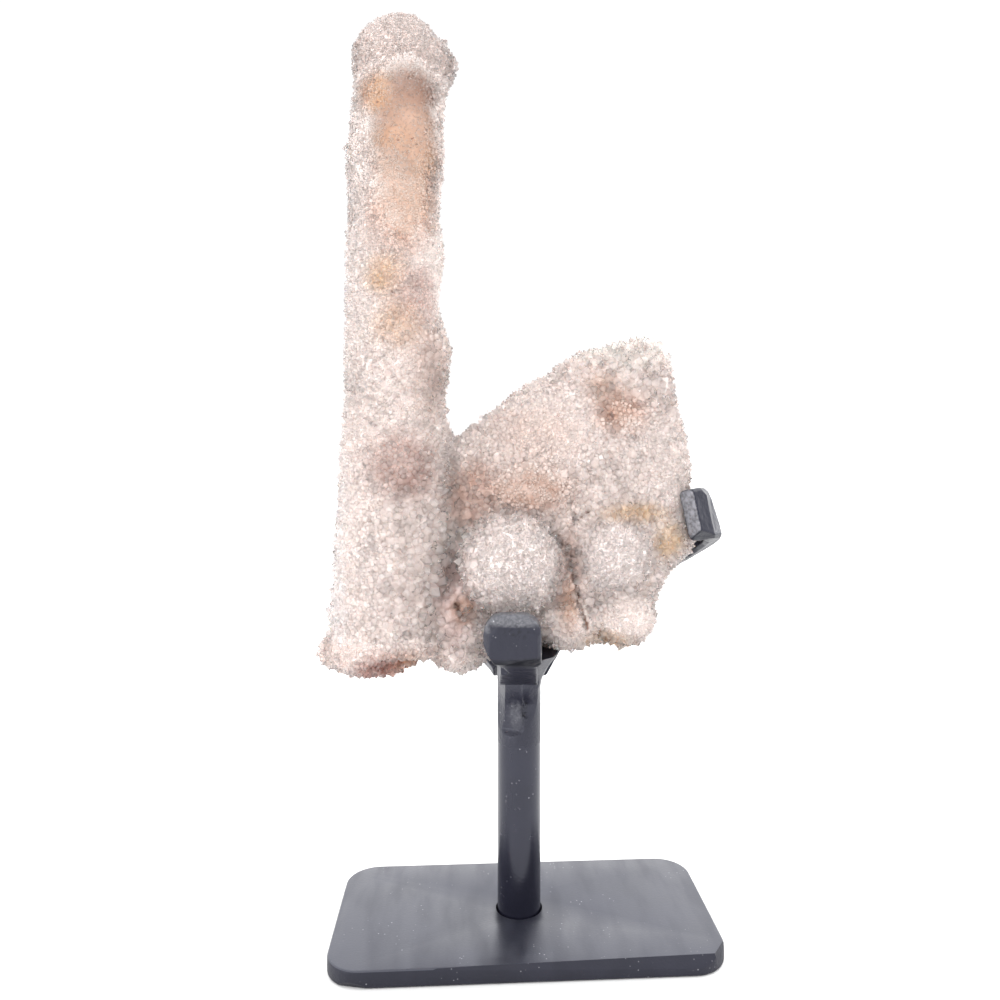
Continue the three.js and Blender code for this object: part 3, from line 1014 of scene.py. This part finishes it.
def build_plate():
    """The base plate: rounded corners, eased rims and a blind seat for the post."""
    sizes = bpy.context.scene.stand_sizes
    low = from_foot(np.array(PLATE_LOW))
    high = from_foot(np.array(PLATE_HIGH))
    piece = add_box("base_plate_iron", low, high)
    select_where(piece, "EDGE", lambda middle, along: abs(along.z) > 0.9)
    bpy.ops.mesh.bevel(offset=sizes.plate_corner, segments=14, affect="EDGES")
    to_object_mode()
    select_where(piece, "FACE", lambda middle, normal: abs(normal.z) > 0.9)
    bpy.ops.mesh.region_to_loop()
    bpy.ops.mesh.bevel(offset=sizes.plate_ease, segments=3, affect="EDGES")
    to_object_mode()
    cut(piece, add_rod("seat", (0, 0), sizes.seat_radius / MM, -sizes.seat_depth / MM, 1))
    for point, direction, size in PLATE_CUTS:
        grind(piece, point, direction, size)
    apply_modifier(
        piece, "BEVEL", width=PLATE_BURR * MM, segments=2, limit_method="ANGLE", angle_limit=0.4
    )
    store_marks(piece)
    select_only(piece)
    bpy.ops.object.shade_smooth_by_angle(angle=math.radians(25))
    finish_piece(piece, painted_iron(*PLATE_PAINT), IRON_SLOT, "base_plate")
    piece.data.materials.append(painted_iron(*PLATE_SIDE_PAINT))
    for face in piece.data.polygons:
        face.material_index = int(face.normal.z < 0.7)
    return piece


def build_post():
    """The round post and the head that is welded on its top."""
    radius = (POST_HIGH.x - POST_LOW.x) / 2 / MM
    low = (POST_LOW.z - PLATE_HIGH.z) / MM
    piece = add_rod("post_iron", (0, 0), radius, low, HEAD_LOW + 2)
    store_marks(piece)
    select_only(piece)
    bpy.ops.object.shade_smooth_by_angle(angle=math.radians(30))
    finish_piece(piece, painted_iron(*POST_PAINT), IRON_SLOT, "post")
    build_head(radius)
    return piece


def head_shape(spots, radius):
    """The head's surface: flats ground into the bar, then a square swelling to front and right."""
    x, y, z = spots.T
    for facing, depth, start, full in HEAD_FLATS:
        past = x * facing[0] + y * facing[1] - radius + depth * ramp(start, full, z)
        past = np.clip(past, 0, None)
        x = x - past * facing[0]
        y = y - past * facing[1]
    corner = np.abs(x * y) / radius ** 2
    forward = 0.7 * ramp(60, 70.4, z) + 0.25 * np.clip(z - 70.4, 0, None)
    forward += 0.7 * ramp(62, 70, z) * corner
    across = 0.72 * np.clip((z - 67) / 12, 0, 1.2) ** 1.6
    x = x * (1 + np.where(x > 0, across, 0.0))
    y = y * (1 + np.where(y < 0, forward, 0.0))
    return np.stack([x, y, z], axis=1)


def build_head(radius):
    """The post's head: flats ground into the bar, swelling squarely under the front claw's arm."""
    piece = add_rod("post_head", (0, 0), radius + HEAD_OVERSIZE, HEAD_LOW, HEAD_HIGH)
    remesh(piece, HEAD_VOXEL, 2)
    places = vertex_places(piece)
    spots = from_foot(places)
    hammered = 0.06 * clouds(spots * (0.25, 0.25, 1.6), 2.2, 3.0) + 0.05 * clouds(spots, 1.6, 5.0)
    hammered *= ramp(55, 66, spots[:, 2])
    notch = near(spots, (1.4, -6.5, 61.5), (1.7, 3, 5.0)) * (0.7 + 0.6 * clouds(spots, 1.5, 2.0))
    hammered -= np.clip(notch, 0, 1)
    shift = head_shape(spots, radius) - spots + vertex_normals(piece) * hammered[:, None]
    move_vertices(piece, places + shift * MM)
    # A worn place on the head's front, and painted shade darkening the hammered notch.
    store_marks(piece, 0.45 * near(spots, (-2, -8, 60), (5, 5, 7)), np.clip(0.6 * notch, 0, 1))
    select_only(piece)
    bpy.ops.object.shade_smooth_by_angle(angle=math.radians(20))
    return finish_piece(piece, painted_iron(*HEAD_PAINT), IRON_SLOT)


def claw_wear(spots, normals):
    """Where the claws are worn bare: round the front tip's rim, lighter where the rim faces up as a
    painted highlight, and on the right tip's inner flat.
    """
    x, y, z = spots.T
    tip = ramp(-29, -31, y)
    rim = np.maximum(ramp(90.8, 93.6, z + 0.5 * clouds(spots, 2.5, 4.0)), 0.8 * ramp(-8.2, -10.6, x))
    # Real wear on the ground rim, made stronger where it faces up: painted highlight.
    faces_up = ramp(0.2, 0.5, normals[:, 2])
    wear = tip * rim * (0.35 + 0.4 * faces_up)
    inner = ramp(0.35, 0.75, -normals[:, 0]) * ramp(0.1, 0.5, -normals[:, 1])
    return np.maximum(wear, 1.4 * inner * ramp(44, 47, x) * ramp(111, 114, z))


def build_claw(node, name, material, cuts):
    """A claw of forged bar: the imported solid, its tip ground, with slightly uneven faces."""
    piece = copy_node(node, name)
    for point, direction, size in cuts:
        grind(piece, point, direction, size)
    true_faces = search_tree(piece.data)
    remesh(piece, CLAW_VOXEL, 1)
    places = np.array([true_faces.find_nearest(Vector(spot))[0] for spot in vertex_places(piece)])
    spots = from_foot(places)
    normals = vertex_normals(piece)
    uneven = 0.14 * clouds(spots, 5.0, 6.0) + 0.05 * clouds(spots, 1.1, 2.0)
    wear = claw_wear(spots, normals)
    uneven += wear * 0.12 * clouds(spots, 0.9, 7.0)
    move_vertices(piece, places + normals * (uneven * MM)[:, None])
    # Painted shade along the front tip's lower lip and on the right claw's downward faces, with dark
    # flecks near the front tip's top.
    lip = ramp(84.6, 83.4, spots[:, 2] - 0.12 * spots[:, 0]) * ramp(-30, -33, spots[:, 1])
    flecks = near(spots, (-2.5, -36, 91), (4.5, 3, 2.2)) * ramp(0.05, 0.4, clouds(spots, 0.8, 1.0))
    under = ramp(-0.3, -0.6, normals[:, 2]) * ramp(44, 46, spots[:, 0]) * 0.5
    store_marks(piece, wear, np.clip(0.8 * lip + 0.8 * flecks + under, 0, 1))
    select_only(piece)
    bpy.ops.object.shade_smooth()
    return finish_piece(piece, material, IRON_SLOT, node)


# ---------------------------------------------------------------- stage


WHITE = (1, 1, 1, 1)
BACKDROP_LIGHT = 1.05
LIGHT_BOUNCES = 32
DIFFUSE_BOUNCES = 12
FLOOR_GREYS = (0.83, 0.83, 0.83), (0.85, 0.85, 0.85)
FLOOR_GAP = 0.1
LEFT_SOFTBOX = ("left_softbox", (-1.34, -0.87, 0.25), (2.0, 0.7))
RIGHT_SOFTBOX = ("right_softbox", (1.3, 0.5, 0.3), (1.2, 0.8))
LIT_POINT = (0, 0, 0.14)
CAMERA_LENS = 30.6
CAMERA_SENSOR = 36
CAMERA_SHIFT = (-0.019, -0.0553)


def build_stage():
    """The floor, the studio light and the camera."""
    studio = bpy.context.scene.studio
    scene = bpy.context.scene
    scene.view_settings.view_transform = "Standard"
    scene.cycles.max_bounces = LIGHT_BOUNCES
    scene.cycles.transmission_bounces = LIGHT_BOUNCES
    scene.cycles.diffuse_bounces = DIFFUSE_BOUNCES
    bpy.ops.object.select_all(action="DESELECT")
    bpy.ops.mesh.primitive_plane_add(size=studio.floor_size, location=(0, 0, -FLOOR_GAP * MM))
    floor = name_piece("floor")
    n = Finish("pale_floor")
    n.link(n.blend(n.span(n.noise(3, 2), 0.3, 0.7), *FLOOR_GREYS), n.shader.inputs["Base Color"])
    n.set(roughness=0.9)
    floor.data.materials.append(n.material)
    build_surroundings(studio)
    add_softbox(*LEFT_SOFTBOX, studio.left_power)
    add_softbox(*RIGHT_SOFTBOX, studio.right_power)
    add_camera(studio)


def build_surroundings(studio):
    """Soft light from all round: bright behind and above, dimmer in front; white to look at."""
    world = bpy.data.worlds.new("soft_white")
    bpy.context.scene.world = world
    world.use_nodes = True
    n = Nodes(world.node_tree, "Generated")
    axes = n.add("ShaderNodeSeparateXYZ")
    n.link(n.coords, axes.inputs["Vector"])
    behind = n.span(axes.outputs["Y"], -0.3, 0.5, studio.front_light, studio.back_light)
    above = n.span(axes.outputs["Z"], 0.35, 0.75, 0.0, studio.top_light)
    light = n.tree.nodes["Background"]
    light.inputs["Color"].default_value = WHITE
    n.link(n.math("ADD", behind, above), light.inputs["Strength"])
    backdrop = n.add("ShaderNodeBackground")
    backdrop.inputs["Color"].default_value = WHITE
    backdrop.inputs["Strength"].default_value = BACKDROP_LIGHT
    choice = n.add("ShaderNodeMixShader")
    seen = n.add("ShaderNodeLightPath").outputs["Is Camera Ray"]
    n.link(seen, choice.inputs["Fac"])
    n.link(light.outputs["Background"], choice.inputs[1])
    n.link(backdrop.outputs["Background"], choice.inputs[2])
    n.link(choice.outputs["Shader"], n.tree.nodes["World Output"].inputs["Surface"])


def add_softbox(name, where, size, power):
    """A wide soft light that faces the middle of the object."""
    bpy.ops.object.select_all(action="DESELECT")
    bpy.ops.object.light_add(type="AREA", location=where)
    lamp = bpy.context.object
    lamp.name = name
    lamp.data.shape = "RECTANGLE"
    lamp.data.size, lamp.data.size_y = size
    lamp.data.energy = power
    lamp.visible_camera = False
    aim = Vector(LIT_POINT) - Vector(where)
    lamp.rotation_euler = aim.to_track_quat("-Z", "Y").to_euler()


def add_camera(studio):
    """A level camera in front of the post and a little to its left."""
    turn = studio.camera_turn
    view = Vector((math.sin(turn), math.cos(turn), 0))
    where = ORIGIN - view * studio.camera_distance
    where.z = ORIGIN.z + studio.camera_height
    bpy.ops.object.select_all(action="DESELECT")
    bpy.ops.object.camera_add(location=where, rotation=(math.pi / 2, 0, -turn))
    camera = bpy.context.object
    camera.data.lens = CAMERA_LENS
    camera.data.sensor_width = CAMERA_SENSOR
    camera.data.shift_x, camera.data.shift_y = CAMERA_SHIFT
    camera.data.clip_start = 0.01
    bpy.context.scene.camera = camera


# ---------------------------------------------------------------- settings


class StandSizes(bpy.types.PropertyGroup):
    """Sizes of the iron stand."""

    plate_corner: bpy.props.FloatProperty(
        name="Plate corner", description="Radius of the plate's upright corners",
        default=0.010, min=0.001, max=0.02, unit="LENGTH")
    plate_ease: bpy.props.FloatProperty(
        name="Plate ease", description="Rounding of the plate's rims",
        default=0.0007, min=0.0001, max=0.002, unit="LENGTH")
    seat_radius: bpy.props.FloatProperty(
        name="Seat radius", description="Radius of the post's hole in the plate",
        default=0.007, min=0.0066, max=0.009, unit="LENGTH")
    seat_depth: bpy.props.FloatProperty(
        name="Seat depth", description="Depth of the post's hole in the plate",
        default=0.0034, min=0.001, max=0.0045, unit="LENGTH")


class StudioSettings(bpy.types.PropertyGroup):
    """The floor, the light and the camera."""

    floor_size: bpy.props.FloatProperty(
        name="Floor size", description="Side of the square floor", default=24.0, unit="LENGTH")
    front_light: bpy.props.FloatProperty(
        name="Front light", description="Brightness of the surroundings in front", default=1.4)
    back_light: bpy.props.FloatProperty(
        name="Back light", description="Brightness of the surroundings behind", default=2.1)
    top_light: bpy.props.FloatProperty(
        name="Top light", description="Brightness of the surroundings above", default=0.6)
    left_power: bpy.props.FloatProperty(
        name="Left softbox", description="Power of the left softbox", default=12.0, unit="POWER")
    right_power: bpy.props.FloatProperty(
        name="Right softbox", description="Power of the right softbox", default=4.0, unit="POWER")
    camera_turn: bpy.props.FloatProperty(
        name="Camera turn", description="How far the camera looks to the right of straight on",
        default=0.060, subtype="ANGLE")
    camera_distance: bpy.props.FloatProperty(
        name="Camera distance", description="From the camera to the post's axis",
        default=0.2574, unit="LENGTH")
    camera_height: bpy.props.FloatProperty(
        name="Camera height", description="From the plate's top to the camera",
        default=0.1399, unit="LENGTH")


# ---------------------------------------------------------------- operators and panel


class STALAGMITE_OT_stage(bpy.types.Operator):
    """Add the floor, the lights and the camera."""

    bl_idname = "stalagmite.stage"
    bl_label = "Stage"

    def execute(self, context):
        build_stage()
        return {"FINISHED"}


class STALAGMITE_OT_plate(bpy.types.Operator):
    """Add the stand's base plate."""

    bl_idname = "stalagmite.plate"
    bl_label = "Base plate"

    def execute(self, context):
        build_plate()
        return {"FINISHED"}


class STALAGMITE_OT_post(bpy.types.Operator):
    """Add the stand's post."""

    bl_idname = "stalagmite.post"
    bl_label = "Post"

    def execute(self, context):
        build_post()
        return {"FINISHED"}


class STALAGMITE_OT_claws(bpy.types.Operator):
    """Add the three claws that hold the stone."""

    bl_idname = "stalagmite.claws"
    bl_label = "Claws"

    def execute(self, context):
        paint = painted_iron(*CLAW_PAINT)
        tip_cuts = [
            (turned_front(point, FRONT_SHIFT), turned_front(direction), size)
            for point, direction, size in TIP_CUTS
        ]
        build_claw("front_claw", "front_claw_iron", paint, [*tip_cuts, ARM_CUT])
        build_claw("right_claw", "right_claw_iron", paint, RIGHT_CUTS)
        build_claw("back_claw", "back_claw_iron", paint, [])
        return {"FINISHED"}


class STALAGMITE_OT_core(bpy.types.Operator):
    """Add the stone itself, under its crystals."""

    bl_idname = "stalagmite.core"
    bl_label = "Stone"

    def execute(self, context):
        build_core()
        return {"FINISHED"}


class STALAGMITE_OT_druse(bpy.types.Operator):
    """Grow the coat of crystals on the stone."""

    bl_idname = "stalagmite.druse"
    bl_label = "Crystals"

    def execute(self, context):
        build_druse()
        return {"FINISHED"}


class STALAGMITE_PT_panel(bpy.types.Panel):
    """Sizes, light and one button for each group of pieces."""

    bl_idname = "STALAGMITE_PT_panel"
    bl_label = "Stalagmite"
    bl_space_type = "VIEW_3D"
    bl_region_type = "UI"
    bl_category = "Stalagmite"

    def draw(self, context):
        for group in (context.scene.stand_sizes, context.scene.studio):
            for key in group.__annotations__:
                self.layout.prop(group, key)
        for operator in OPERATORS:
            self.layout.operator(operator.bl_idname)


GROUPS = {"stand_sizes": StandSizes, "studio": StudioSettings}
OPERATORS = (
    STALAGMITE_OT_stage,
    STALAGMITE_OT_plate,
    STALAGMITE_OT_post,
    STALAGMITE_OT_claws,
    STALAGMITE_OT_core,
    STALAGMITE_OT_druse,
)


def register():
    for item in (*GROUPS.values(), *OPERATORS, STALAGMITE_PT_panel):
        bpy.utils.register_class(item)
    for name, group in GROUPS.items():
        setattr(bpy.types.Scene, name, bpy.props.PointerProperty(type=group))


def unregister():
    for name in GROUPS:
        delattr(bpy.types.Scene, name)
    for item in reversed((*GROUPS.values(), *OPERATORS, STALAGMITE_PT_panel)):
        bpy.utils.unregister_class(item)


def main():
    register()
    bpy.ops.stalagmite.stage()
    bpy.ops.stalagmite.plate()
    bpy.ops.stalagmite.post()
    bpy.ops.stalagmite.claws()
    bpy.ops.stalagmite.core()
    bpy.ops.stalagmite.druse()


if __name__ == "__main__":
    main()
